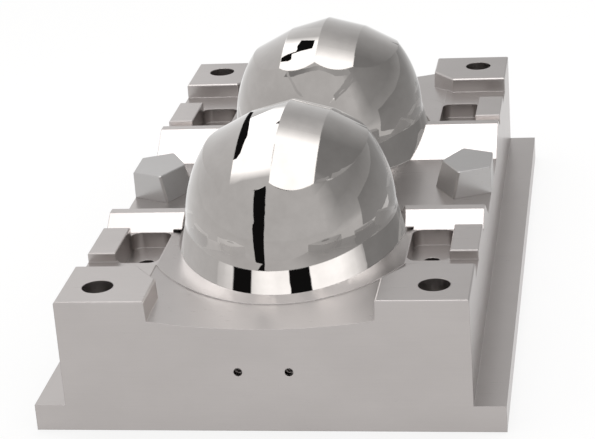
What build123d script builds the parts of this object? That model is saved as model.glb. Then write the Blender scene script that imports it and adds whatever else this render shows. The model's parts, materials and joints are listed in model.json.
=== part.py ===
from build123d import *

import os
from math import radians, tan

# Core half of a two-cavity helmet mould: one machined steel block with side clamping flanges,
# corner towers for the guide pillars, rest pads, pockets, cross ridges and a sunk valley, and
# two polished helmet cores let into it from above, the rear one turned half round.
# Millimetres. The origin is the middle of the underside, X runs across the block, Y from the
# front face to the rear face, and Z up.

# Block
block_width = 450.0
block_length = 854.0
flange_width = 520.0
flange_thickness = 30.5
valley_level = 120.5
valley_half_length = 95.0
land_level = 135.5

# Corner towers and their guide bores
parting_level = 154.5
tower_width = 100.0
tower_length = 100.0
tower_corner_x = 28.0
tower_corner_y = 37.0
tower_draft = 3.0
tower_edge_chamfer = 1.5
guide_edge_x = 40.0
guide_edge_y = 42.0
guide_mouth_diameter = 35.0
guide_mouth_depth = 26.0

# Guide bushes, put in from below
bush_bore_diameter = 30.0
bush_outer_diameter = 42.0
bush_head_diameter = 50.0
bush_head_height = 8.0
bush_lead_chamfer = 2.0
bush_head_gap = 0.25
bush_ring_thickness = 2.0
bush_ring_width = 4.5
bush_ring_groove_depth = 1.5
bush_ring_recess = 3.0
bush_ring_opening = 12.0

# Rest pads
pad_level = 146.5
pad_width = 32.5
pad_start_y = 193.0
pad_length = 78.5
pad_edge_chamfer = 1.0

# Pockets with a bolt hole in the floor
pocket_inner_x = 143.5
pocket_start_y = 182.5
pocket_length = 92.0
pocket_floor_level = 116.0
pocket_corner_radius = 12.0
bolt_hole_diameter = 17.5

# Cross ridges: a flat crest between an outer and an inner slope
ridge_level = 151.5
ridge_crest_start_y = 144.5
ridge_crest_width = 13.5

# Dished land at each end of the block, and the shut-off land round each core
dish_level = 121.5
dish_rise = 10.2
dish_half_width = 126.0
shut_off_step = 1.0
shut_off_radius = 166.5
shut_off_centre_y = 195.5

# Helmet core: an egg over a flared skirt on a spigot
core_centre_y = 174.5
core_half_width = 123.3
core_front_length = 157.5
core_rear_length = 143.5
core_equator_level = 160.0
core_dome_height = 137.5
brow_half_width_front = 113.0
brow_half_width_rear = 116.0
brow_height_front = 151.0
brow_height_rear = 143.5
brow_inset = 1.0
skirt_half_width = 133.2
skirt_front_length = 163.2
skirt_rear_length = 149.5
skirt_flare = 13.0
skirt_height = 62.0
core_seat_level = 80.0
core_fit_gap = 0.1

# Crown panels: two strips on each side of a ridge line, each one turned about a cross axis
crown_radius = 235.0
crown_level = 284.0
crown_centre_y = 2.0
panel_width = 47.5
panel_slope = 14.6
shoulder_width = 90.0
shoulder_slope = 27.0

# Cooling: two ports for each core, a riser from each into the core's well, and a baffle
port_pitch = 56.0
port_level = 71.0
port_diameter = 9.6
port_depth = 15.0
channel_diameter = 8.0
well_diameter = 70.0
well_top_level = 230.0
baffle_thickness = 4.0
baffle_side_gap = 0.25
baffle_top_level = 205.0
baffle_slot_depth = 4.0
baffle_slot_gap = 0.1
seal_inner_diameter = 80.0
seal_section = 5.0
seal_squeeze = 0.8

# Core screws and dowels, from below
core_screw_thread = 16.0
core_screw_pitch_x = 130.0
core_screw_pitch_y = 170.0
core_screw_engagement = 28.0
core_dowel_diameter = 12.0
core_dowel_pitch_y = 210.0
core_dowel_length = 50.0

# Interlock blocks with tapered inner faces, on the valley floor
interlock_tip_x = 163.0
interlock_shoulder_x = 187.0
interlock_half_length = 44.0
interlock_end_half_length = 26.5
interlock_draft = 13.5
interlock_edge_chamfer = 1.0
interlock_corner_chamfer = 2.0
interlock_screw_thread = 12.0
interlock_screw_x = 203.0
interlock_screw_pitch = 36.0
interlock_screw_engagement = 20.0
interlock_dowel_diameter = 8.0
interlock_dowel_x = 187.0
interlock_dowel_pitch = 44.0
interlock_dowel_length = 30.0

# Socket screws, as multiples of the thread diameter
screw_head_diameter_ratio = 1.5
screw_clearance_ratio = 1.1
screw_head_room = 1.0
socket_width_ratio = 0.8
socket_depth_ratio = 0.5
screw_grip_ratio = 3.0
hole_end_room = 4.0

# Worked out from the sizes above
half_width = block_width / 2
half_length = block_length / 2
guide_x = half_width - guide_edge_x
guide_y = half_length - guide_edge_y
guide_places = [(x * guide_x, y * guide_y) for y in (-1, 1) for x in (-1, 1)]
pocket_outer_x = half_width - pad_width
ridge_crest_end_y = ridge_crest_start_y + ridge_crest_width
bush_foot_level = bush_ring_recess + bush_ring_thickness
bush_ring_diameter = bush_head_diameter + 2 * bush_ring_groove_depth
seal_height = seal_section - seal_squeeze


def slab(width, length, bottom, top, x=0.0, y=0.0):
    """Box of that width and length between two levels, centred at x, y."""
    return Pos(x, y, bottom) * Box(width, length, top - bottom, align=(Align.CENTER, Align.CENTER, Align.MIN))


def rod(diameter, bottom, top, x=0.0, y=0.0):
    """Upright cylinder between two levels."""
    return Pos(x, y, bottom) * Cylinder(
        diameter / 2, top - bottom, align=(Align.CENTER, Align.CENTER, Align.MIN)
    )


def level_rod(diameter, length):
    """Cylinder that lies along Y, from the origin to the rear."""
    return Cylinder(diameter / 2, length, rotation=(-90, 0, 0), align=(Align.CENTER, Align.CENTER, Align.MIN))


def quarters(shape):
    """The shape and its mirror images about the two middle planes of the block."""
    pair = [shape, mirror(shape, Plane.YZ)]
    return pair + [mirror(one, Plane.XZ) for one in pair]


def egg_outline(half_w, front, rear):
    """Closed plan outline of two half ellipses that meet at the widest place, front towards -Y."""
    front_half = EllipticalCenterArc((0, 0), half_w, front, start_angle=180, arc_size=180)
    rear_half = EllipticalCenterArc((0, 0), half_w, rear, start_angle=0, arc_size=180)
    return Wire([front_half, rear_half])


def egg_prism(half_w, front, rear, bottom, top):
    """Upright solid on the egg outline."""
    face = Face(egg_outline(half_w, front, rear))
    return Pos(0, 0, bottom) * extrude(face, top - bottom, dir=(0, 0, 1))


# Block

def tower():
    """Corner tower at the front right: its inner corner is cut off, and its inner walls have draft."""
    inner_x = half_width - tower_width
    inner_y = tower_length - half_length
    spare = tower_width
    outline = Polyline(
        (half_width + spare, -half_length - spare),
        (half_width + spare, inner_y),
        (inner_x + tower_corner_x, inner_y),
        (inner_x, inner_y - tower_corner_y),
        (inner_x, -half_length - spare),
        close=True,
    )
    head = Pos(0, 0, parting_level) * Face(Wire(outline.edges()))
    body = extrude(head, parting_level - valley_level, dir=(0, 0, -1), taper=-tower_draft)
    body = body & slab(block_width, block_length, valley_level, parting_level)
    return chamfer(body.faces().sort_by(Axis.Z)[-1].edges(), tower_edge_chamfer)


def pad():
    """Rest pad at the rear right, beside the pocket."""
    centre_x = half_width - pad_width / 2
    centre_y = pad_start_y + pad_length / 2
    body = slab(pad_width, pad_length, valley_level, pad_level, centre_x, centre_y)
    return chamfer(body.faces().sort_by(Axis.Z)[-1].edges(), pad_edge_chamfer)


def pocket():
    """Pocket at the rear right, with round corners and a flat floor."""
    width = pocket_outer_x - pocket_inner_x
    centre_x = (pocket_outer_x + pocket_inner_x) / 2
    centre_y = pocket_start_y + pocket_length / 2
    body = slab(width, pocket_length, pocket_floor_level, parting_level, centre_x, centre_y)
    body = fillet(body.edges().filter_by(Axis.Z), pocket_corner_radius)
    return body + rod(bolt_hole_diameter, 0, pocket_floor_level + 1, centre_x, centre_y)


def ridge():
    """Cross ridge behind the valley, with the end land that it stands on."""
    profile = Polyline(
        (valley_half_length, flange_thickness),
        (valley_half_length, valley_level),
        (ridge_crest_start_y, ridge_level),
        (ridge_crest_end_y, ridge_level),
        (pocket_start_y, land_level),
        (half_length, land_level),
        (half_length, flange_thickness),
        close=True,
    )
    face = Plane.YZ * Face(Wire(profile.edges()))
    return Pos(-half_width, 0, 0) * extrude(face, block_width, dir=(1, 0, 0))


def end_dish():
    """What is milled away between the front towers: a shallow trough, and one step less deep
    in the shut-off land round the core."""
    radius = (dish_half_width**2 + dish_rise**2) / (2 * dish_rise)
    length = half_length - ridge_crest_end_y
    trough = Pos(0, -half_length, dish_level + radius) * level_rod(2 * radius, length)
    reach = slab(2 * pocket_inner_x, length, valley_level, land_level + 1, 0, -half_length + length / 2)
    trough = trough & reach
    land = rod(2 * shut_off_radius, valley_level - 1, land_level + 1, 0, -shut_off_centre_y)
    return (trough - land) + (Pos(0, 0, shut_off_step) * trough)


def guide_bore(x, y):
    """Stepped bore for one bush: mouth at the parting face, seat, head counterbore and ring groove."""
    ring_groove = rod(bush_ring_diameter, bush_ring_recess, bush_ring_recess + bush_ring_thickness, x, y)
    cut = rod(guide_mouth_diameter, 0, parting_level + 1, x, y)
    cut += rod(bush_outer_diameter, 0, parting_level - guide_mouth_depth, x, y)
    cut += rod(bush_head_diameter + 2 * bush_head_gap, 0, bush_foot_level + bush_head_height, x, y)
    return cut + ring_groove


def screw_hole(thread, joint_level, x, y):
    """Clearance hole from below with its head counterbore, up to the joint face."""
    head_seat = joint_level - screw_grip_ratio * thread
    hole = rod(screw_clearance_ratio * thread, 0, joint_level, x, y)
    return hole + rod(screw_head_diameter_ratio * thread + 2 * screw_head_room, 0, head_seat, x, y)


def screw(thread, joint_level, engagement, x, y):
    """Socket screw put in from below, with its hexagon socket."""
    head_seat = joint_level - screw_grip_ratio * thread
    head_foot = head_seat - thread
    body = rod(thread, head_seat, joint_level + engagement, x, y)
    body += rod(screw_head_diameter_ratio * thread, head_foot, head_seat, x, y)
    hexagon = RegularPolygon(socket_width_ratio * thread / 2, 6, major_radius=False)
    return body - Pos(x, y, head_foot) * extrude(hexagon, socket_depth_ratio * thread, dir=(0, 0, 1))


def core_screw_places():
    return [(x * core_screw_pitch_x / 2, y * core_screw_pitch_y / 2) for y in (-1, 1) for x in (-1, 1)]


def core_dowel_places():
    return [(0, y * core_dowel_pitch_y / 2) for y in (-1, 1)]


def interlock_screw_places():
    return [(interlock_screw_x, y * interlock_screw_pitch / 2) for y in (-1, 1)]


def interlock_dowel_places():
    return [(interlock_dowel_x, y * interlock_dowel_pitch / 2) for y in (-1, 1)]


def core_place(shape):
    """Moves what is drawn about a core's own axis to the front cavity."""
    return Pos(0, -core_centre_y, 0) * shape


def half_round(shape):
    """Turns a shape half round about the block's upright middle line."""
    return Rot(0, 0, 180) * shape


def core_recess():
    """What the block loses for the front core: its recess, screw and dowel holes and cooling."""
    outline = [size + core_fit_gap for size in (skirt_half_width, skirt_front_length, skirt_rear_length)]
    cut = egg_prism(*outline, core_seat_level, parting_level)
    for x, y in core_screw_places():
        cut += screw_hole(core_screw_thread, core_seat_level, x, y)
    for x, y in core_dowel_places():
        cut += rod(core_dowel_diameter, core_seat_level - core_dowel_length / 2, core_seat_level + 1, x, y)
    reach = half_length - core_centre_y
    for side in (-1, 1):
        x = side * port_pitch / 2
        cut += Pos(x, -reach, port_level) * level_rod(channel_diameter, reach)
        cut += Pos(x, -reach, port_level) * level_rod(port_diameter, port_depth)
        cut += rod(channel_diameter, port_level, core_seat_level + 1, x, 0)
    slot_width = baffle_thickness + 2 * baffle_slot_gap
    cut += slab(slot_width, well_diameter, core_seat_level - baffle_slot_depth, core_seat_level + 1)
    return core_place(cut)


def interlock_holes():
    """Screw and dowel holes in the valley floor for the right interlock."""
    holes = [screw_hole(interlock_screw_thread, valley_level, x, y) for x, y in interlock_screw_places()]
    foot = valley_level - interlock_dowel_length / 2
    for x, y in interlock_dowel_places():
        holes.append(rod(interlock_dowel_diameter, foot, valley_level, x, y))
    return holes


def mould_block():
    body = slab(flange_width, block_length, 0, flange_thickness)
    body += slab(block_width, block_length, 0, valley_level)
    for end in (ridge(), half_round(ridge())):
        body += end
    for dish in (end_dish(), half_round(end_dish())):
        body -= dish
    body += quarters(tower())
    body += quarters(pad())
    body -= quarters(pocket())
    recess = core_recess()
    body -= recess
    body -= half_round(recess)
    for x, y in guide_places:
        body -= guide_bore(x, y)
    for hole in interlock_holes():
        body -= hole
        body -= half_round(hole)
    return body


# Cores

def egg_half(half_w, length, height, side):
    """Front or rear half of a sphere stretched to that width, length and height."""
    ball = Pos(0, 0, core_equator_level) * scale(Sphere(1), by=(half_w, length, height))
    keep = Box(3 * half_w, 2 * length, 4 * height, align=(Align.CENTER, side, Align.MIN))
    return ball & (Pos(0, 0, dish_level) * keep)


def crown():
    """The space under the crown panels: a faceted drum turned about a cross axis under the crown."""
    drop = panel_width * tan(radians(panel_slope))
    shoulder_drop = drop + shoulder_width * tan(radians(shoulder_slope))
    right = [
        (0, crown_radius),
        (panel_width, crown_radius - drop),
        (panel_width + shoulder_width, crown_radius - shoulder_drop),
        (panel_width + shoulder_width, 0),
    ]
    left = [(-x, r) for x, r in reversed(right[1:])]
    section = Plane.XY * Face(Wire(Polyline(*right, *left, close=True).edges()))
    drum = revolve(section, Axis.X, 360)
    return Pos(0, crown_centre_y, crown_level - crown_radius) * drum


def seal_ring():
    """Ring seal as it is when squeezed flat into its groove in the underside of the core."""
    outer = rod(seal_inner_diameter + 2 * seal_section, core_seat_level, core_seat_level + seal_height)
    return outer - rod(seal_inner_diameter, core_seat_level, core_seat_level + seal_height)


def helmet_core():
    """One core about its own axis, with its spigot, cooling well and blind holes."""
    drum = crown()
    dome = egg_half(core_half_width, core_front_length, core_dome_height, Align.MAX) & drum
    dome += egg_half(core_half_width, core_rear_length, core_dome_height, Align.MIN) & drum
    front_brow = core_front_length - brow_inset
    rear_brow = core_rear_length - brow_inset
    dome += egg_half(brow_half_width_front, front_brow, brow_height_front, Align.MAX) & drum
    dome += egg_half(brow_half_width_rear, rear_brow, brow_height_rear, Align.MIN) & drum
    top_shrink = skirt_height * tan(radians(skirt_flare))
    foot_sizes = (skirt_half_width, skirt_front_length, skirt_rear_length)
    head_sizes = [size - top_shrink for size in foot_sizes]
    foot = Pos(0, 0, dish_level) * Face(egg_outline(*foot_sizes))
    head = Pos(0, 0, dish_level + skirt_height) * Face(egg_outline(*head_sizes))
    body = dome + loft([foot, head], ruled=True)
    body += egg_prism(*foot_sizes, core_seat_level, dish_level)
    body -= rod(well_diameter, core_seat_level, well_top_level)
    body -= seal_ring()
    screw_hole_top = core_seat_level + core_screw_engagement + hole_end_room
    for x, y in core_screw_places():
        body -= rod(core_screw_thread, core_seat_level, screw_hole_top, x, y)
    for x, y in core_dowel_places():
        body -= rod(core_dowel_diameter, core_seat_level, core_seat_level + core_dowel_length / 2, x, y)
    return body


def core_baffle():
    """Plate that stands in a slot under the well and sends the coolant up one side and down the other."""
    width = well_diameter - 2 * baffle_side_gap
    return slab(baffle_thickness, width, core_seat_level - baffle_slot_depth, baffle_top_level)


def screw_set(thread, joint_level, engagement, places):
    return Compound([screw(thread, joint_level, engagement, x, y) for x, y in places])


def dowel_set(diameter, length, joint_level, places):
    """Dowels that stand half in each of two pieces."""
    foot = joint_level - length / 2
    return Compound([rod(diameter, foot, foot + length, x, y) for x, y in places])


# Guide bushes

def guide_bush(x, y):
    """Headed bush with a lead at the top of its bore."""
    top = parting_level - guide_mouth_depth
    body = rod(bush_outer_diameter, bush_foot_level, top, x, y)
    body += rod(bush_head_diameter, bush_foot_level, bush_foot_level + bush_head_height, x, y)
    body -= rod(bush_bore_diameter, 0, parting_level, x, y)
    lead = Cone(
        bush_bore_diameter / 2,
        bush_bore_diameter / 2 + bush_lead_chamfer,
        bush_lead_chamfer,
        align=(Align.CENTER, Align.CENTER, Align.MAX),
    )
    return body - Pos(x, y, top) * lead


def retaining_ring(x, y):
    """Open ring in the groove under a bush head, its opening towards the middle of the block."""
    top = bush_ring_recess + bush_ring_thickness
    body = rod(bush_ring_diameter, bush_ring_recess, top, x, y)
    body -= rod(bush_ring_diameter - 2 * bush_ring_width, bush_ring_recess, top, x, y)
    side = -1 if y > 0 else 1
    opening_y = y + side * bush_ring_diameter / 2
    return body - slab(bush_ring_opening, bush_ring_diameter, bush_ring_recess, top, x, opening_y)


# Interlocks

def interlock():
    """Right interlock block: a prism with two drafted faces that meet in a point towards the middle."""
    slope = (interlock_half_length - interlock_end_half_length) / (half_width - interlock_shoulder_x)
    inner_x = interlock_tip_x - (parting_level - valley_level)
    inner_y = interlock_half_length + slope * (interlock_shoulder_x - inner_x)
    prism_outline = Polyline(
        (half_width, -interlock_end_half_length),
        (half_width, interlock_end_half_length),
        (inner_x, inner_y),
        (inner_x, -inner_y),
        close=True,
    )
    foot = Pos(0, 0, valley_level) * Face(Wire(prism_outline.edges()))
    prism = extrude(foot, parting_level - valley_level, dir=(0, 0, 1))
    reach = 3 * (interlock_shoulder_x - interlock_tip_x)
    spread = 3 * interlock_half_length
    wedge_outline = Polyline(
        (interlock_tip_x, 0),
        (interlock_tip_x + reach, -spread),
        (half_width + spread, -spread),
        (half_width + spread, spread),
        (interlock_tip_x + reach, spread),
        close=True,
    )
    head = Pos(0, 0, parting_level) * Face(Wire(wedge_outline.edges()))
    body = prism & extrude(head, parting_level - valley_level, dir=(0, 0, -1), taper=-interlock_draft)
    upright_edges = body.edges().filter_by(lambda edge: edge.bounding_box().size.Z > 1)
    body = chamfer(upright_edges.sort_by(Axis.X)[:3], interlock_corner_chamfer)
    body = chamfer(body.faces().sort_by(Axis.Z)[-1].edges(), interlock_edge_chamfer)
    hole_top = valley_level + interlock_screw_engagement + hole_end_room
    for x, y in interlock_screw_places():
        body -= rod(interlock_screw_thread, valley_level, hole_top, x, y)
    for x, y in interlock_dowel_places():
        body -= rod(interlock_dowel_diameter, valley_level, valley_level + interlock_dowel_length / 2, x, y)
    return body


if __name__ == "__main__":
    os.makedirs("parts", exist_ok=True)
    nodes = {"mould_block": mould_block()}
    core_set = {
        "core": helmet_core(),
        "core_screws": screw_set(
            core_screw_thread, core_seat_level, core_screw_engagement, core_screw_places()
        ),
        "core_dowels": dowel_set(
            core_dowel_diameter, core_dowel_length, core_seat_level, core_dowel_places()
        ),
        "core_seal": seal_ring(),
        "core_baffle": core_baffle(),
    }
    for name, shape in core_set.items():
        nodes["front_" + name] = core_place(shape)
        nodes["rear_" + name] = half_round(core_place(shape))
    corners = ["front_left", "front_right", "rear_left", "rear_right"]
    for corner, (x, y) in zip(corners, guide_places):
        nodes["guide_bush_" + corner] = guide_bush(x, y)
    nodes["bush_retaining_rings"] = Compound([retaining_ring(x, y) for x, y in guide_places])
    interlock_set = {
        "": interlock(),
        "_screws": screw_set(
            interlock_screw_thread, valley_level, interlock_screw_engagement, interlock_screw_places()
        ),
        "_dowels": dowel_set(
            interlock_dowel_diameter, interlock_dowel_length, valley_level, interlock_dowel_places()
        ),
    }
    for name, shape in interlock_set.items():
        nodes["interlock_right" + name] = shape
        nodes["interlock_left" + name] = half_round(shape)
    for name, shape in nodes.items():
        export_step(shape, f"parts/{name}.step")
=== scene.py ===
"""Helmet mould core half: steel finishes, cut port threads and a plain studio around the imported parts."""

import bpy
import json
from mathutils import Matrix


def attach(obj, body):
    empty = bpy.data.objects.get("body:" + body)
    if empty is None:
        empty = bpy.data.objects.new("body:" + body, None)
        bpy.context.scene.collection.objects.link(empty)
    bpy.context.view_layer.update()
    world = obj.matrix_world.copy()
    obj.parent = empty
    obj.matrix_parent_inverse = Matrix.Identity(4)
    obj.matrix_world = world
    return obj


bl_info = {
    "name": "Helmet Mould Core Half",
    "version": (1, 0, 0),
    "blender": (4, 5, 0),
    "location": "View3D > Sidebar > Helmet Mould",
    "description": "Finishes the packed helmet mould and sets a plain studio around it",
    "category": "Object",
}

import fnmatch
import json
import math

import bpy
from mathutils import Matrix, Vector

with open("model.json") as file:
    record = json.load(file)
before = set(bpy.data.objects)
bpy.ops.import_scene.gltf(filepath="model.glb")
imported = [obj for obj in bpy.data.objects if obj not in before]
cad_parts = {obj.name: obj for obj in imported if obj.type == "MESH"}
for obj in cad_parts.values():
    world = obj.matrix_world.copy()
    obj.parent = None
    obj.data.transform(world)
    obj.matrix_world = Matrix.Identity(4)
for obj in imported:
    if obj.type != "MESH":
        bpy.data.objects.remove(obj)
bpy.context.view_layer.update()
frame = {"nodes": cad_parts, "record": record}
MM = 0.001
WHITE = (1.0, 1.0, 1.0, 1.0)
PORTS = [mount for mount in frame["record"]["mounts"] if mount["kind"] == "threaded_hole"]

# The flared skirt of the cores: the height of its top edge, and how far its wall leans from upright
SKIRT_TOP = 159 * MM
SKIRT_FLARE = math.radians(13.0)

# Painted light: where a perfect mirror shows the steel, the steel glows a little though it is no lamp, a
# painted reflection that keeps the polished cores clean. Given are the levels on the left and on the right
# of the mould, and the X places between which they change. The block also loses a share of its own shine
# there, a painted dimming of its reflection
PAINTED_GLOW_CHANGE_X = (40 * MM, 160 * MM)
CORE_PAINTED_GLOW = (0.25, 0.05)
BLOCK_PAINTED_GLOW = (0.88, 0.46)
BLOCK_PAINTED_SHINE_LOST = 0.85

# The painted glow, light where no lamp is, that satin steel sees on the front core, and the Y places between
# which it rises to the front
FRONT_PAINTED_GLOW = 0.6
FRONT_PAINTED_GLOW_Y = (-250 * MM, -310 * MM)

# The camera stands where the straight edges of the block fit the photograph: metres, degrees and mm
CAMERA_PLACE = (0.3830, -2.3483, 1.0163)
CAMERA_YAW = -9.838
CAMERA_DOWN = 21.506
CAMERA_ROLL = -4.299
CAMERA_LENS = 121.72
SENSOR_WIDTH = 36.0

# The studio's places are in metres and its azimuths in degrees, and a level of 1 is white

# The softbox overhead, and the height just under it where its fade hangs
SOFTBOX_CENTRE = Vector((-0.02, 0.28, 2.2))
SOFTBOX_WIDTH = 1.85
SOFTBOX_LENGTH = 1.15
FADE_HEIGHT = 2.19

# The boards that the front core mirrors are set round this Y on the middle line, and those for its skirt
# hang on a cone with this foot and rise
BOARDS_CENTRE_Y = -0.27
CONE_FOOT = 0.325
CONE_RISE = 0.773

# Where the cards between the two cores stand, and how bright a black card looks
BETWEEN_CORES_Y = -0.01
BLACK = 0.012


def linear(hex_colour):
    """Turns an sRGB hex colour into linear red, green, blue."""
    levels = [int(hex_colour[i : i + 2], 16) / 255 for i in (0, 2, 4)]
    return tuple(v / 12.92 if v <= 0.04045 else ((v + 0.055) / 1.055) ** 2.4 for v in levels)


def add_node(tree, kind, inputs=None, **settings):
    """Adds a node with its settings; an input takes a value, or another node's socket to link from."""
    made = tree.nodes.new(kind)
    for name, value in settings.items():
        setattr(made, name, value)
    for key, value in (inputs or {}).items():
        if isinstance(value, bpy.types.NodeSocket):
            tree.links.new(value, made.inputs[key])
        else:
            made.inputs[key].default_value = value
    return made


def empty_material(name):
    """Makes a node material and returns it with its tree, which holds no nodes yet."""
    material = bpy.data.materials.new(name)
    material.use_nodes = True
    material.node_tree.nodes.clear()
    return material, material.node_tree


def grain(tree, place, size):
    """Adds streaks or spots: size holds how long each one is in X, Y and Z, in metres."""
    laid = add_node(tree, "ShaderNodeMapping", {"Vector": place, "Scale": [1 / s for s in size]}).outputs[0]
    look = {"Vector": laid, "Scale": 1.0, "Detail": 3.0, "Roughness": 0.6}
    return add_node(tree, "ShaderNodeTexNoise", look).outputs["Fac"]


def between(tree, pattern, low, high):
    """Spreads a pattern, whose values lie mostly around a half, over low to high."""
    spread = {"Value": pattern, "From Min": 0.25, "From Max": 0.75, "To Min": low, "To Max": high}
    return add_node(tree, "ShaderNodeMapRange", spread).outputs[0]


def tinted(tree, pattern, dark, light):
    """Blends two sRGB hex colours by a pattern."""
    blend = {0: between(tree, pattern, 0.0, 1.0), 6: (*linear(dark), 1.0), 7: (*linear(light), 1.0)}
    return add_node(tree, "ShaderNodeMix", blend, data_type="RGBA").outputs[2]


def rounded_edges(tree, radius, height, relief):
    """Softens hard edges so they catch a line of light, then adds the relief in height."""
    edges = add_node(tree, "ShaderNodeBevel", {"Radius": radius}, samples=4).outputs[0]
    bumps = {"Strength": 1.0, "Distance": relief, "Height": height, "Normal": edges}
    return add_node(tree, "ShaderNodeBump", bumps).outputs[0]


def in_mirrors(tree):
    """Tells the rays that come from a perfect mirror."""
    path = add_node(tree, "ShaderNodeLightPath").outputs
    both = {0: path["Is Singular Ray"], 1: path["Is Glossy Ray"]}
    return add_node(tree, "ShaderNodeMath", both, operation="MULTIPLY").outputs[0]


def painted_glow_in_mirrors(tree, place, glow):
    """Paints a little glow into a surface where a perfect mirror shows it: painted light, no lamp, that
    makes the polished cores' reflections look clean.
    """
    across = add_node(tree, "ShaderNodeSeparateXYZ", {0: place}).outputs[0]
    left, right = PAINTED_GLOW_CHANGE_X
    change = {"Value": across, "From Min": left, "From Max": right, "To Min": glow[0], "To Max": glow[1]}
    level = add_node(tree, "ShaderNodeMapRange", change).outputs[0]
    return add_node(tree, "ShaderNodeMath", {0: in_mirrors(tree), 1: level}, operation="MULTIPLY").outputs[0]


def painted_dimming_in_mirrors(tree, colour, lost):
    """Takes a share of a metal's shine away where a perfect mirror shows it: a painted dimming of its
    reflection, which leaves the even painted glow.
    """
    left_over = {0: in_mirrors(tree), 1: -lost, 2: 1.0}
    kept = add_node(tree, "ShaderNodeMath", left_over, operation="MULTIPLY_ADD").outputs[0]
    return add_node(tree, "ShaderNodeVectorMath", {0: colour, "Scale": kept}, operation="SCALE").outputs[0]


def painted_front_glow_in_satin(tree, place):
    """Paints a glow onto the front of the front core where satin steel shows it, as on the land before it:
    painted light, not a lamp.
    """
    path = add_node(tree, "ShaderNodeLightPath").outputs
    rough = {0: path["Is Glossy Ray"], 1: path["Is Singular Ray"]}
    satin = add_node(tree, "ShaderNodeMath", rough, operation="SUBTRACT", use_clamp=True).outputs[0]
    along = add_node(tree, "ShaderNodeSeparateXYZ", {0: place}).outputs[1]
    start, full = FRONT_PAINTED_GLOW_Y
    rise = {"Value": along, "From Min": start, "From Max": full, "To Max": FRONT_PAINTED_GLOW}
    level = add_node(tree, "ShaderNodeMapRange", rise).outputs[0]
    return add_node(tree, "ShaderNodeMath", {0: satin, 1: level}, operation="MULTIPLY").outputs[0]


def metal_output(material, colour, roughness, normal, glow=None):
    """Adds the metal shader and the output; glow is a socket with the painted light, no lamp, that only
    other steel sees.
    """
    tree = material.node_tree
    inputs = {"Base Color": colour, "Metallic": 1.0, "Roughness": roughness, "Normal": normal}
    if glow:
        inputs["Emission Color"] = WHITE
        inputs["Emission Strength"] = glow
        material.cycles.emission_sampling = "NONE"
    shader = add_node(tree, "ShaderNodeBsdfPrincipled", inputs).outputs[0]
    add_node(tree, "ShaderNodeOutputMaterial", {"Surface": shader})


def ground_steel(name, settings, dark, light, edge_radius):
    """Tool steel, milled and then surface ground: a soft satin with fine streaks along the wheel's way."""
    material, tree = empty_material(name)
    place = add_node(tree, "ShaderNodeTexCoord").outputs["Object"]
    facing = add_node(tree, "ShaderNodeNewGeometry").outputs["True Normal"]
    across = add_node(tree, "ShaderNodeSeparateXYZ", {0: facing}).outputs[0]
    tilt = add_node(tree, "ShaderNodeMath", {0: across}, operation="ABSOLUTE").outputs[0]
    # The streaks run along Y on the two sides, whose faces look mostly along X, and along X elsewhere
    is_side = add_node(tree, "ShaderNodeMath", {0: tilt, 1: 0.8}, operation="GREATER_THAN").outputs[0]
    pitch = settings.grind_pitch
    run = settings.grind_run
    along_x = grain(tree, place, (run, pitch, pitch))
    along_y = grain(tree, place, (pitch, run, pitch))
    streaks = add_node(tree, "ShaderNodeMix", {0: is_side, 2: along_x, 3: along_y}).outputs[0]
    # Clouds as wide as a grinding wheel's passes change the tone more than the streaks do
    clouds = grain(tree, place, (110 * MM, 90 * MM, 70 * MM))
    shade = add_node(tree, "ShaderNodeMix", {0: 0.3, 2: clouds, 3: streaks}).outputs[0]
    # Painted reflection: where a perfect mirror shows the block, a share of its shine is taken away
    colour = painted_dimming_in_mirrors(tree, tinted(tree, shade, dark, light), BLOCK_PAINTED_SHINE_LOST)
    roughness = between(tree, streaks, settings.ground_roughness - 0.03, settings.ground_roughness + 0.03)
    normal = rounded_edges(tree, edge_radius, streaks, settings.grind_relief)
    # Painted light: the block glows evenly where a perfect mirror shows it
    metal_output(material, colour, roughness, normal, painted_glow_in_mirrors(tree, place, BLOCK_PAINTED_GLOW))
    return material


def leaning_skirt(tree, place, normal, lean):
    """Leans the normal of the flared skirt up, so its polish mirrors the boards above it."""
    facing = add_node(tree, "ShaderNodeNewGeometry").outputs["True Normal"]
    upward = add_node(tree, "ShaderNodeSeparateXYZ", {0: facing}).outputs[2]
    # The skirt's wall is told by its flare, give or take 0.08, and by its height
    flare = {0: upward, 1: math.sin(SKIRT_FLARE), 2: 0.08}
    flared = add_node(tree, "ShaderNodeMath", flare, operation="COMPARE").outputs[0]
    height = add_node(tree, "ShaderNodeSeparateXYZ", {0: place}).outputs[2]
    low = add_node(tree, "ShaderNodeMath", {0: height, 1: SKIRT_TOP}, operation="LESS_THAN").outputs[0]
    skirt = add_node(tree, "ShaderNodeMath", {0: flared, 1: low}, operation="MULTIPLY").outputs[0]
    amount = add_node(tree, "ShaderNodeMath", {0: skirt, 1: lean}, operation="MULTIPLY").outputs[0]
    lift = add_node(tree, "ShaderNodeCombineXYZ", {2: amount}).outputs[0]
    leaned = add_node(tree, "ShaderNodeVectorMath", {0: normal, 1: lift}, operation="ADD").outputs[0]
    return add_node(tree, "ShaderNodeVectorMath", {0: leaned}, operation="NORMALIZE").outputs[0]


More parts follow.
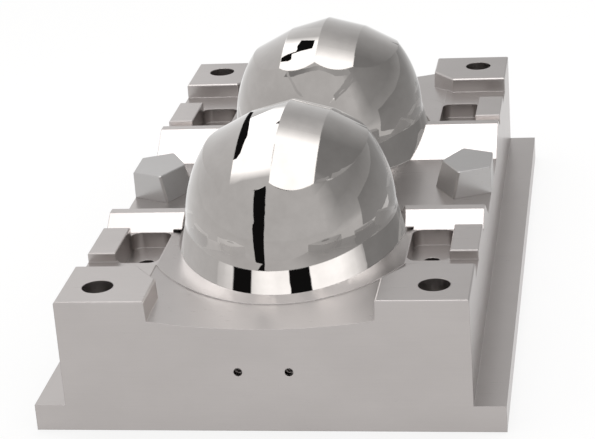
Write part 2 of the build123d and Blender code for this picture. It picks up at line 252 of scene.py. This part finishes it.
def polished_steel(name, settings):
    """Hardened tool steel, stoned and lapped to a mirror: crisp reflections that waver a little."""
    material, tree = empty_material(name)
    place = add_node(tree, "ShaderNodeTexCoord").outputs["Object"]
    # Slow waves as wide as a polisher's strokes, and a haze of about the same size
    wave = grain(tree, place, (60 * MM, 60 * MM, 60 * MM))
    haze = grain(tree, place, (30 * MM, 45 * MM, 30 * MM))
    colour = tinted(tree, haze, "A39F9C", "AFABA8")
    normal = rounded_edges(tree, 1.6 * MM, wave, settings.polish_wave)
    normal = leaning_skirt(tree, place, normal, settings.skirt_lean)
    # Painted light: the cores glow a little where mirrors show them, and on the front where satin steel
    # shows it
    painted_glows = {0: painted_glow_in_mirrors(tree, place, CORE_PAINTED_GLOW), 1: painted_front_glow_in_satin(tree, place)}
    glow = add_node(tree, "ShaderNodeMath", painted_glows, operation="ADD").outputs[0]
    metal_output(material, colour, settings.polished_roughness, normal, glow)
    return material


def satin_metal(name, dark, light, roughness, band):
    """A turned, ground or rolled metal: satin, with bands of the given height from the tool or the rolls."""
    material, tree = empty_material(name)
    place = add_node(tree, "ShaderNodeTexCoord").outputs["Object"]
    bands = grain(tree, place, (20 * MM, 20 * MM, band))
    colour = tinted(tree, bands, dark, light)
    normal = rounded_edges(tree, 0.3 * MM, bands, 0.01 * MM)
    metal_output(material, colour, between(tree, bands, roughness - 0.04, roughness + 0.06), normal)
    return material


def dull_material(name, dark, light, roughness, spot, relief, metallic):
    """A dark fitting: black-oxide steel or moulded rubber, almost matt with a fine skin."""
    material, tree = empty_material(name)
    place = add_node(tree, "ShaderNodeTexCoord").outputs["Object"]
    skin = grain(tree, place, (spot, spot, spot))
    inputs = {
        "Base Color": tinted(tree, skin, dark, light),
        "Metallic": metallic,
        "Roughness": between(tree, skin, roughness - 0.06, roughness + 0.06),
        "Normal": rounded_edges(tree, 0.3 * MM, skin, relief),
    }
    shader = add_node(tree, "ShaderNodeBsdfPrincipled", inputs).outputs[0]
    add_node(tree, "ShaderNodeOutputMaterial", {"Surface": shader})
    return material


def dress(material, *patterns):
    """Gives this material to every node whose name fits one of the patterns."""
    for pattern in patterns:
        names = fnmatch.filter(frame["nodes"], pattern)
        if not names:
            raise RuntimeError(f"no node has a name like {pattern}")
        for name in names:
            mesh = frame["nodes"][name].data
            mesh.materials.clear()
            mesh.materials.append(material)


class MouldFinishSettings(bpy.types.PropertyGroup):
    """Finishes that a user may change."""

    grind_pitch: bpy.props.FloatProperty(
        name="Grind pitch",
        description="Width of a grinding streak, drawn coarser than the real 0.1 mm so that it shows",
        default=1.6 * MM,
        min=0.1 * MM,
        subtype="DISTANCE",
        unit="LENGTH",
    )
    grind_run: bpy.props.FloatProperty(
        name="Grind run",
        description="Length of a grinding streak",
        default=90 * MM,
        min=1 * MM,
        subtype="DISTANCE",
        unit="LENGTH",
    )
    grind_relief: bpy.props.FloatProperty(
        name="Grind relief",
        description="Depth of the grinding streaks",
        default=0.003 * MM,
        min=0.0,
        precision=6,
        subtype="DISTANCE",
        unit="LENGTH",
    )
    ground_roughness: bpy.props.FloatProperty(
        name="Ground roughness",
        description="Roughness of the ground steel",
        default=0.3,
        min=0.06,
        max=1.0,
    )
    polished_roughness: bpy.props.FloatProperty(
        name="Polished roughness",
        description="Roughness of the mirror-polished cores",
        default=0.0,
        min=0.0,
        max=1.0,
    )
    skirt_lean: bpy.props.FloatProperty(
        name="Skirt lean",
        description="How far the skirt's polish leans up towards the boards",
        default=0.9,
        min=0.0,
    )
    polish_wave: bpy.props.FloatProperty(
        name="Polish waviness",
        description="Height of the slow waves that hand polishing leaves",
        default=0.05 * MM,
        min=0.0,
        precision=6,
        subtype="DISTANCE",
        unit="LENGTH",
    )


class MouldPortSettings(bpy.types.PropertyGroup):
    """Sizes of the threads in the cooling ports."""

    thread_pitch: bpy.props.FloatProperty(
        name="Thread pitch",
        description="Distance from one thread crest to the next",
        default=0.907 * MM,
        min=0.2 * MM,
        precision=5,
        subtype="DISTANCE",
        unit="LENGTH",
    )
    thread_depth: bpy.props.FloatProperty(
        name="Thread depth",
        description="How far a thread crest stands in from the bore",
        default=0.5 * MM,
        min=0.05 * MM,
        precision=5,
        subtype="DISTANCE",
        unit="LENGTH",
    )
    thread_length: bpy.props.FloatProperty(
        name="Thread length",
        description="Length of the helical ridge in each port",
        default=11 * MM,
        min=1 * MM,
        precision=4,
        subtype="DISTANCE",
        unit="LENGTH",
    )


class MouldStudioSettings(bpy.types.PropertyGroup):
    """Floor and lamp."""

    floor_size: bpy.props.FloatProperty(
        name="Floor size",
        description="Side of the floor",
        default=30.0,
        min=2.0,
        subtype="DISTANCE",
        unit="LENGTH",
    )
    floor_colour: bpy.props.FloatVectorProperty(
        name="Floor colour",
        description="Colour of the floor",
        default=linear("F4F3F2"),
        min=0.0,
        max=1.0,
        subtype="COLOR",
    )
    floor_glow: bpy.props.FloatProperty(
        name="Floor white",
        description="Share of plain white in the floor as the camera and the metal see it",
        default=0.8,
        min=0.0,
        max=1.0,
        subtype="FACTOR",
    )
    lamp_radiance: bpy.props.FloatProperty(
        name="Softbox level",
        description="Brightness of the overhead softbox, where 1 is white",
        default=2.4,
        min=0.0,
    )


class MOULD_OT_finish_block(bpy.types.Operator):
    """Gives the mould block its ground steel"""

    bl_idname = "mould.finish_block"
    bl_label = "Finish Block"

    def execute(self, context):
        settings = context.scene.mould_finish
        dress(ground_steel("Ground tool steel", settings, "B3AEAC", "BCB7B5", 1.4 * MM), "mould_block")
        return {"FINISHED"}


class MOULD_OT_polish_cores(bpy.types.Operator):
    """Gives the two helmet cores their mirror polish"""

    bl_idname = "mould.polish_cores"
    bl_label = "Polish Cores"

    def execute(self, context):
        dress(polished_steel("Mirror-polished tool steel", context.scene.mould_finish), "*_core")
        return {"FINISHED"}


class MOULD_OT_finish_interlocks(bpy.types.Operator):
    """Gives the side interlocks their ground hardened steel"""

    bl_idname = "mould.finish_interlocks"
    bl_label = "Finish Interlocks"

    def execute(self, context):
        settings = context.scene.mould_finish
        steel = ground_steel("Ground hardened steel", settings, "AEACAB", "B7B5B4", 1.2 * MM)
        dress(steel, "interlock_left", "interlock_right")
        return {"FINISHED"}


class MOULD_OT_finish_fittings(bpy.types.Operator):
    """Gives bushes, rings, screws, dowels, seals and baffles their own metals and rubber"""

    bl_idname = "mould.finish_fittings"
    bl_label = "Finish Fittings"

    def execute(self, context):
        # Hardened steel, turned and bored: a darker grey satin with faint rings
        dress(satin_metal("Hardened guide steel", "6F6B6A", "7D7977", 0.3, 0.8 * MM), "guide_bush_*")
        # Steel blackened in a salt bath: almost black, with a soft dull shine
        oxide = dull_material("Black-oxide steel", "17171A", "26262A", 0.5, 2 * MM, 0.01 * MM, 1.0)
        dress(oxide, "*_screws", "*_rings")
        # Centreless-ground pins: brighter and smoother than the bushes
        dress(satin_metal("Ground dowel steel", "A5A5A8", "B8B8BA", 0.22, 0.6 * MM), "*_dowels")
        # Pressed in a mould: black, matt and without any metal shine
        rubber = dull_material("Moulded black rubber", "0C0C0C", "161616", 0.72, 1.5 * MM, 0.02 * MM, 0.0)
        dress(rubber, "*_seal")
        # Rolled sheet: a warm yellow satin with broad, faint bands
        dress(satin_metal("Plain sheet brass", "B38A3D", "C89E4C", 0.32, 30 * MM), "*_baffle")
        return {"FINISHED"}


def thread_tree(material):
    """Geometry Nodes: a helical thread ridge stood on each port's point, turned to face out of the block."""
    tree = bpy.data.node_groups.new("Port threads", "GeometryNodeTree")
    tree.interface.new_socket("Geometry", in_out="INPUT", socket_type="NodeSocketGeometry")
    for name in ("Bore Radius", "Pitch", "Depth", "Length"):
        tree.interface.new_socket(name, in_out="INPUT", socket_type="NodeSocketFloat")
    tree.interface.new_socket("Geometry", in_out="OUTPUT", socket_type="NodeSocketGeometry")
    given = add_node(tree, "NodeGroupInput").outputs
    bore = given["Bore Radius"]
    pitch = given["Pitch"]
    length = given["Length"]
    turns = add_node(tree, "ShaderNodeMath", {0: length, 1: pitch}, operation="DIVIDE").outputs[0]
    spiral = {
        "Resolution": 24,
        "Rotations": turns,
        "Start Radius": bore,
        "End Radius": bore,
        "Height": length,
    }
    helix = add_node(tree, "GeometryNodeCurveSpiral", spiral).outputs[0]
    square = {"Resolution": 4, "Radius": given["Depth"]}
    crest = add_node(tree, "GeometryNodeCurvePrimitiveCircle", square).outputs[0]
    swept = {"Curve": helix, "Profile Curve": crest, "Fill Caps": True}
    ridge = add_node(tree, "GeometryNodeCurveToMesh", swept).outputs[0]
    # The point is the middle of the port, and the ridge runs inwards from one pitch behind it
    inward = add_node(tree, "ShaderNodeMath", {0: length, 1: -1.0}, operation="MULTIPLY").outputs[0]
    start = add_node(tree, "ShaderNodeMath", {0: inward, 1: pitch}, operation="SUBTRACT").outputs[0]
    offset = add_node(tree, "ShaderNodeCombineXYZ", {2: start}).outputs[0]
    seated = add_node(tree, "GeometryNodeTransform", {"Geometry": ridge, "Translation": offset}).outputs[0]
    place = add_node(tree, "GeometryNodeInputPosition").outputs[0]
    along = add_node(tree, "ShaderNodeSeparateXYZ", {0: place}).outputs[1]
    outward = add_node(tree, "ShaderNodeCombineXYZ", {1: along}).outputs[0]
    turned = add_node(tree, "FunctionNodeAlignRotationToVector", {"Vector": outward}, axis="Z").outputs[0]
    stands = {"Points": given["Geometry"], "Instance": seated, "Rotation": turned}
    stood = add_node(tree, "GeometryNodeInstanceOnPoints", stands).outputs[0]
    real = add_node(tree, "GeometryNodeRealizeInstances", {0: stood}).outputs[0]
    finished = add_node(tree, "GeometryNodeSetMaterial", {"Geometry": real, "Material": material}).outputs[0]
    add_node(tree, "NodeGroupOutput", {0: finished})
    return tree


def applied(source, name):
    """Turns the evaluated object into one plain mesh of its own and removes the source."""
    graph = bpy.context.evaluated_depsgraph_get()
    mesh = bpy.data.meshes.new_from_object(source.evaluated_get(graph))
    piece = bpy.data.objects.new(name, mesh)
    bpy.context.scene.collection.objects.link(piece)
    bpy.data.objects.remove(source)
    return piece


class MOULD_OT_cut_port_threads(bpy.types.Operator):
    """Cuts a thread into each of the four cooling ports"""

    bl_idname = "mould.cut_port_threads"
    bl_label = "Cut Port Threads"

    def execute(self, context):
        settings = context.scene.mould_ports
        steel = frame["nodes"]["mould_block"].data.materials[0]
        points = bpy.data.meshes.new("port places")
        points.from_pydata([mount["pos_m"] for mount in PORTS], [], [])
        source = bpy.data.objects.new("port places", points)
        context.scene.collection.objects.link(source)
        modifier = source.modifiers.new("Port threads", "NODES")
        modifier.node_group = thread_tree(steel)
        sizes = {
            "Bore Radius": PORTS[0]["dims"]["r_mm"] * MM,
            "Pitch": settings.thread_pitch,
            "Depth": settings.thread_depth,
            "Length": settings.thread_length,
        }
        for item in modifier.node_group.interface.items_tree:
            if item.name in sizes:
                modifier[item.identifier] = sizes[item.name]
        threads = applied(source, "port_threads")
        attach(threads, "root")
        return {"FINISHED"}


def seen_and_lit(tree, seen, lit):
    """Shows one shader to camera, glossy and transmission rays, and lights the scene with the other."""
    path = add_node(tree, "ShaderNodeLightPath").outputs
    shown = path["Is Camera Ray"]
    for kind in ("Is Glossy Ray", "Is Transmission Ray"):
        more = {0: shown, 1: path[kind]}
        shown = add_node(tree, "ShaderNodeMath", more, operation="ADD", use_clamp=True).outputs[0]
    return add_node(tree, "ShaderNodeMixShader", {0: shown, 1: lit, 2: seen}).outputs[0]


def glow_sheet(name, corners, faces, levels, seen_in="metal"):
    """Makes a studio screen that only metal sees: its corners glow, each at its own level. One seen in
    mirrors shows its front to perfect mirrors alone, and one seen in satin shows to rougher metal alone."""
    mesh = bpy.data.meshes.new(name)
    mesh.from_pydata(corners, [], faces)
    mesh.attributes.new("level", "FLOAT", "POINT").data.foreach_set("value", levels)
    material, tree = empty_material(name)
    level = add_node(tree, "ShaderNodeAttribute", attribute_name="level").outputs["Fac"]
    glow = add_node(tree, "ShaderNodeEmission", {"Strength": level}).outputs[0]
    mirror = add_node(tree, "ShaderNodeLightPath").outputs["Is Singular Ray"]
    if seen_in == "mirrors":
        behind = add_node(tree, "ShaderNodeNewGeometry").outputs["Backfacing"]
        sides = {0: mirror, 1: behind}
        shown = add_node(tree, "ShaderNodeMath", sides, operation="SUBTRACT", use_clamp=True).outputs[0]
    elif seen_in == "satin":
        shown = add_node(tree, "ShaderNodeMath", {0: 1.0, 1: mirror}, operation="SUBTRACT").outputs[0]
    else:
        shown = 1.0
    clear = add_node(tree, "ShaderNodeBsdfTransparent").outputs[0]
    surface = add_node(tree, "ShaderNodeMixShader", {0: shown, 1: clear, 2: glow}).outputs[0]
    add_node(tree, "ShaderNodeOutputMaterial", {"Surface": surface})
    material.cycles.emission_sampling = "NONE"
    mesh.materials.append(material)
    screen = bpy.data.objects.new(name, mesh)
    bpy.context.scene.collection.objects.link(screen)
    screen.visible_camera = False
    screen.visible_diffuse = False
    screen.visible_shadow = False


def arc_screen(name, centre_y, radius, columns, rows, seen_in="metal", plain=1.0):
    """Stands a curved screen round the mould. Columns are (azimuth, level, foot), where azimuth 0 is the
    front and 90 the right. Rows are (height, strength): a row of strength 1 has the column's level, and one
    of strength 0 the plain level."""
    corners = []
    levels = []
    for azimuth, level, foot in columns:
        turn = math.radians(azimuth)
        for height, strength in rows:
            corners.append((radius * math.sin(turn), centre_y - radius * math.cos(turn), foot + height))
            levels.append(plain + (level - plain) * strength)
    tall = len(rows)
    faces = []
    for column in range(len(columns) - 1):
        for row in range(tall - 1):
            at = column * tall + row
            faces.append((at, at + 1, at + tall + 1, at + tall))
    glow_sheet(name, corners, faces, levels, seen_in)


def ribbon(name, pairs, levels):
    """Stretches a card between pairs of corners, with a level for each pair; only mirrors see its front."""
    corners = [corner for pair in pairs for corner in pair]
    faces = [(at, at + 1, at + 3, at + 2) for at in range(0, len(corners) - 2, 2)]
    glow_sheet(name, corners, faces, [level for level in levels for end in (0, 1)], "mirrors")


def cone_board(name, columns):
    """Hangs a board over the front core's skirt, on a cone with the front down and outwards:
    columns are (azimuth, inner radius, outer radius, level)."""
    pairs = []
    for azimuth, inner, outer, _ in columns:
        turn = math.radians(azimuth)
        ends = []
        for radius in (outer, inner):
            x = radius * math.sin(turn)
            y = BOARDS_CENTRE_Y - radius * math.cos(turn)
            ends.append((x, y, CONE_FOOT + CONE_RISE * radius))
        pairs.append(ends)
    ribbon(name, pairs, [column[3] for column in columns])


def banner(name, y, columns):
    """Stands a card across the mould: columns are (x, foot, top, level).
    Its front is to the front where they run from left to right, and to the rear where they run back."""
    ribbon(name, [((x, y, top), (x, y, foot)) for x, foot, top, _ in columns], [row[3] for row in columns])


class MOULD_OT_set_stage(bpy.types.Operator):
    """Sets the floor, the softbox, the screens and cards, the surroundings and the camera"""

    bl_idname = "mould.set_stage"
    bl_label = "Set Stage"

    def execute(self, context):
        scene = context.scene
        settings = scene.mould_studio
        self.lay_floor(scene, settings)
        self.set_surroundings(scene)
        self.hang_softbox(scene, settings)
        self.stand_screens()
        self.stand_crown_cards()
        self.stand_front_flag()
        self.hang_skirt_boards()
        self.stand_quiet_cards()
        self.set_camera(scene)
        scene.view_settings.view_transform = "Standard"
        return {"FINISHED"}

    def lay_floor(self, scene, settings):
        """Lays a pale floor just under the mould; its matt share keeps the mould's shadow."""
        half = settings.floor_size / 2
        mesh = bpy.data.meshes.new("floor")
        corners = [(-half, -half, 0), (half, -half, 0), (half, half, 0), (-half, half, 0)]
        mesh.from_pydata(corners, [], [(0, 1, 2, 3)])
        mesh.transform(Matrix.Translation((0, 0, -0.2 * MM)))
        material, tree = empty_material("Pale studio floor")
        paint = {"Color": (*settings.floor_colour, 1.0), "Roughness": 0.0}
        matt = add_node(tree, "ShaderNodeBsdfDiffuse", paint).outputs[0]
        white = add_node(tree, "ShaderNodeEmission", {"Strength": 1.0}).outputs[0]
        toned = add_node(tree, "ShaderNodeMixShader", {0: settings.floor_glow, 1: matt, 2: white}).outputs[0]
        add_node(tree, "ShaderNodeOutputMaterial", {"Surface": seen_and_lit(tree, toned, matt)})
        mesh.materials.append(material)
        floor = bpy.data.objects.new("floor", mesh)
        scene.collection.objects.link(floor)

    def set_surroundings(self, scene):
        """Sets a world that looks white and lights the mould a little less."""
        world = bpy.data.worlds.new("White studio")
        world.use_nodes = True
        tree = world.node_tree
        tree.nodes.clear()
        shown = add_node(tree, "ShaderNodeBackground", {"Color": WHITE, "Strength": 1.0}).outputs[0]
        lit = add_node(tree, "ShaderNodeBackground", {"Color": WHITE, "Strength": 0.9}).outputs[0]
        add_node(tree, "ShaderNodeOutputWorld", {"Surface": seen_and_lit(tree, shown, lit)})
        scene.world = world

    def hang_softbox(self, scene, settings):
        """Hangs the softbox overhead, with a sheet under it that mirrors see fade out to the rear."""
        lamp = bpy.data.lights.new("softbox", "AREA")
        lamp.shape = "RECTANGLE"
        lamp.size = SOFTBOX_WIDTH
        lamp.size_y = SOFTBOX_LENGTH
        lamp.energy = settings.lamp_radiance * math.pi * lamp.size * lamp.size_y
        holder = bpy.data.objects.new("softbox", lamp)
        holder.location = SOFTBOX_CENTRE
        scene.collection.objects.link(holder)
        left = SOFTBOX_CENTRE.x - SOFTBOX_WIDTH / 2
        right = SOFTBOX_CENTRE.x + SOFTBOX_WIDTH / 2
        # Rows are (y, level)
        rows = [(-0.3, 2.8), (1.15, 2.8), (1.5, 1.9), (1.65, 1.6), (1.85, 1.3)]
        pairs = [((right, y, FADE_HEIGHT), (left, y, FADE_HEIGHT)) for y, _ in rows]
        ribbon("softbox fade", pairs, [level for _, level in rows])

    def stand_screens(self):
        """Stands the screens round the mould: dark on the right and behind, bright behind on the left."""
        dark = [
            (55, 1.0, 0.0), (75, 0.55, 0.0), (110, 0.45, 0.0), (150, 0.38, 0.0),
            (166, 0.6, 0.0), (180, 0.8, 0.0), (195, 0.9, 0.0), (205, 1.0, 0.0),
        ]
        tall = [(0.0, 0.0), (0.2, 0.6), (0.8, 1.0), (2.8, 1.0), (3.4, 0.0)]
        arc_screen("dark side screen", 0.0, 1.9, dark, tall)
        # A wall behind joins the softbox's fade, so that the right crown panels show no line between them
        wall = [(1.2, 1.0), (1.5, 0.75), (1.8, 0.4), (FADE_HEIGHT, 0.0)]
        arc_screen("rear wall", 0.0, 1.85, dark[4:], wall, "mirrors", 1.3)
        # A low screen darkens what the cores mirror near the floor, on the right and behind
        low = [(100, 0.5, 0.0), (150, 0.5, 0.0), (162, 0.7, 0.0), (172, 0.9, 0.0)]
        rows = [(0.0, 1.0), (0.15, 0.7), (0.3, 0.0)]
        arc_screen("low side screen", -0.2, 0.9, low, rows, "mirrors", 0.42)
        # Satin steel sees a screen of its own, which keeps the far faces of the block dim
        dim = [
            (120, 0.5, 0.0), (150, 0.6, 0.0), (180, 0.72, 0.0), (190, 0.76, 0.0),
            (194, 0.84, 0.0), (198, 1.0, 0.0), (230, 1.0, 0.0),
        ]
        arc_screen("dim rear screen", 0.0, 1.8, dim, [(0.0, 1.0), (2.4, 1.0), (3.4, 0.0)], "satin")
        # The front core's left crown panel mirrors this screen as white; its foot rises, as given here for
        # each azimuth, to keep it off the rear core's
        feet = [
            (-170, 0.24), (-166, 0.31), (-163, 0.4), (-160, 0.47), (-155, 0.61), (-150, 0.73),
            (-147, 0.8), (-140, 0.92), (-130, 1.06), (-118, 1.2), (-108, 1.3),
        ]
        bright = [(azimuth, 2.8 if -165 < azimuth < -110 else 1.0, foot) for azimuth, foot in feet]
        rows = [(0.0, 1.0), (0.8, 1.0), (1.1, 0.0)]
        arc_screen("bright rear screen", BOARDS_CENTRE_Y, 1.0, bright, rows, "mirrors")

    def stand_crown_cards(self):
        """Stands the cards that the crowns mirror, most as dark lines: rows are (x, foot, top)."""
        # The crescent on the left of the front core's crown
        crease = [
            (-0.32, 0.63, 0.65), (-0.302, 0.6, 0.641), (-0.253, 0.49, 0.574), (-0.213, 0.435, 0.513),
            (-0.182, 0.4, 0.466), (-0.155, 0.365, 0.424), (-0.133, 0.335, 0.384), (-0.114, 0.305, 0.347),
            (-0.096, 0.275, 0.308), (-0.077, 0.25, 0.267),
        ]
        banner("crease card", BETWEEN_CORES_Y, [(*column, BLACK) for column in crease])
        # The bow on the left of the rear core's crown
        bow = [
            (-0.318, 0.668, 0.71), (-0.3, 0.64, 0.69), (-0.27, 0.605, 0.635), (-0.25, 0.585, 0.6),
            (-0.232, 0.578, 0.592), (-0.215, 0.55, 0.6), (-0.195, 0.51, 0.565), (-0.16, 0.45, 0.5),
        ]
        banner("rear bow card", 0.45, [(*column, BLACK) for column in bow])
        # The tone under the rear core's brow, with a level to each row
        brow = [
            (0.43, 0.61, 0.73, 0.7), (0.12, 0.44, 0.53, 0.7), (0.0, 0.5, 0.565, 0.85),
            (-0.13, 0.475, 0.54, 0.5), (-0.25, 0.49, 0.57, 0.42), (-0.7, 0.72, 0.95, 0.42),
        ]
        banner("rear brow card", -0.05, brow)
        # The thin line along the front core's ridge: rows are (z, right, left)
        ridge = [
            (2.0, -0.03, -0.2), (1.5, -0.02, -0.2), (1.13, -0.02, -0.18),
            (0.91, -0.02, -0.15), (0.77, -0.03, -0.12), (0.69, -0.05, -0.09),
        ]
        pairs = [((right, BETWEEN_CORES_Y, z), (left, BETWEEN_CORES_Y, z)) for z, right, left in ridge]
        ribbon("ridge card", pairs, [BLACK] * len(pairs))

    def stand_front_flag(self):
        """Stands the narrow card that the front core mirrors as the dark strip down its front: rows are
        (y, z, right, left)."""
        strip = [
            (-0.345, 0.1225, -0.012, -0.03), (-0.375, 0.1225, -0.025, -0.043),
            (-0.4, 0.1225, -0.031, -0.06), (-0.4, 0.156, -0.029, -0.062), (-0.4, 0.209, -0.029, -0.069),
            (-0.4, 0.257, -0.029, -0.083), (-0.4, 0.33, -0.038, -0.1),
        ]
        pairs = [((right, y, z), (left, y, z)) for y, z, right, left in strip]
        ribbon("front flag", pairs, [BLACK] * len(pairs))

    def hang_skirt_boards(self):
        """Hangs the boards that the front core's skirt mirrors: bright, with a dark gap on either side."""
        left = [
            (-101, 1.5, 2.2, 1.15), (-94, 0.8, 1.25, 1.35), (-86, 0.54, 0.85, 1.6), (-83, 0.46, 0.7, 1.7),
        ]
        cone_board("skirt board left", left)
        left_gap = [(-82, 0.4, 0.6, BLACK), (-70, 0.27, 0.4, BLACK), (-57, 0.205, 0.3, BLACK)]
        cone_board("skirt flag left", left_gap)
        front = [
            (-56, 0.2, 0.3, 1.8), (-42, 0.165, 0.24, 2.3), (-25, 0.14, 0.19, 2.5), (14, 0.125, 0.165, 2.4),
        ]
        cone_board("skirt board front", front)
        right_gap = [(15, 0.125, 0.165, BLACK), (35, 0.135, 0.185, BLACK), (53, 0.16, 0.21, BLACK)]
        cone_board("skirt flag right", right_gap)
        right = [
            (54, 0.16, 0.215, 2.5), (70, 0.2, 0.275, 2.5), (82, 0.25, 0.36, 2.5), (95, 0.34, 0.54, 2.5),
            (105, 0.48, 0.85, 2.05), (110, 0.62, 1.1, 1.8), (114, 0.78, 1.4, 1.45), (118, 1.05, 2.0, 1.2),
            (121, 1.4, 2.5, 0.8),
        ]
        cone_board("skirt board right", right)

    def stand_quiet_cards(self):
        """Stands a card on each side of the mould, of about the tone around it, to hide the skirt boards
        from the rear core. Rows are (y, foot, top), and on the right a level too."""
        right = [
            (0.12, 0.374, 0.402, 0.46), (0.09, 0.376, 0.404, 0.49), (0.05, 0.38, 0.408, 0.52),
            (0.03, 0.383, 0.41, 0.56), (0.0, 0.386, 0.415, 0.62), (-0.03, 0.389, 0.419, 0.66),
            (-0.09, 0.4, 0.43, 0.66), (-0.15, 0.418, 0.444, 0.66), (-0.3, 0.46, 0.49, 0.66),
        ]
        pairs = [((0.2, y, top), (0.2, y, foot)) for y, foot, top, _ in right]
        ribbon("quiet card right", pairs, [row[3] for row in right])
        left = [(-0.22, 0.426, 0.457), (-0.13, 0.4, 0.426), (0.05, 0.385, 0.4)]
        pairs = [((-0.2, y, top), (-0.2, y, foot)) for y, foot, top in left]
        ribbon("quiet card left", pairs, [0.85] * len(pairs))

    def set_camera(self, scene):
        """Sets the camera, turned about the upright, then down, then about its own line of sight."""
        yaw = math.radians(CAMERA_YAW)
        down = math.radians(CAMERA_DOWN)
        roll = math.radians(CAMERA_ROLL)
        ahead = Vector((math.sin(yaw) * math.cos(down), math.cos(yaw) * math.cos(down), -math.sin(down)))
        across = Vector((math.cos(yaw), -math.sin(yaw), 0))
        up = across.cross(ahead)
        right = across * math.cos(roll) + up * math.sin(roll)
        top = up * math.cos(roll) - across * math.sin(roll)
        lens = bpy.data.cameras.new("camera")
        lens.lens = CAMERA_LENS
        lens.sensor_width = SENSOR_WIDTH
        lens.clip_end = 100.0
        camera = bpy.data.objects.new("camera", lens)
        turn = Matrix((right, top, -ahead)).transposed().to_4x4()
        camera.matrix_world = Matrix.Translation(CAMERA_PLACE) @ turn
        scene.collection.objects.link(camera)
        scene.camera = camera


class MOULD_PT_panel(bpy.types.Panel):
    """Lists the steps that dress the mould"""

    bl_idname = "MOULD_PT_panel"
    bl_label = "Helmet Mould"
    bl_space_type = "VIEW_3D"
    bl_region_type = "UI"
    bl_category = "Helmet Mould"

    def draw(self, context):
        layout = self.layout
        for group in (context.scene.mould_finish, context.scene.mould_ports, context.scene.mould_studio):
            box = layout.box()
            for name in group.bl_rna.properties.keys():
                if name not in ("rna_type", "name"):
                    box.prop(group, name)
        for step in STEPS:
            layout.operator(step.bl_idname)


STEPS = (
    MOULD_OT_finish_block,
    MOULD_OT_polish_cores,
    MOULD_OT_finish_interlocks,
    MOULD_OT_finish_fittings,
    MOULD_OT_cut_port_threads,
    MOULD_OT_set_stage,
)
CLASSES = (MouldFinishSettings, MouldPortSettings, MouldStudioSettings, *STEPS, MOULD_PT_panel)


def register():
    for made in CLASSES:
        bpy.utils.register_class(made)
    bpy.types.Scene.mould_finish = bpy.props.PointerProperty(type=MouldFinishSettings)
    bpy.types.Scene.mould_ports = bpy.props.PointerProperty(type=MouldPortSettings)
    bpy.types.Scene.mould_studio = bpy.props.PointerProperty(type=MouldStudioSettings)


def unregister():
    del bpy.types.Scene.mould_studio
    del bpy.types.Scene.mould_ports
    del bpy.types.Scene.mould_finish
    for made in reversed(CLASSES):
        bpy.utils.unregister_class(made)


def main():
    """Dresses the mould step by step."""
    register()
    bpy.ops.mould.finish_block()
    bpy.ops.mould.polish_cores()
    bpy.ops.mould.finish_interlocks()
    bpy.ops.mould.finish_fittings()
    bpy.ops.mould.cut_port_threads()
    bpy.ops.mould.set_stage()


if __name__ == "__main__":
    main()
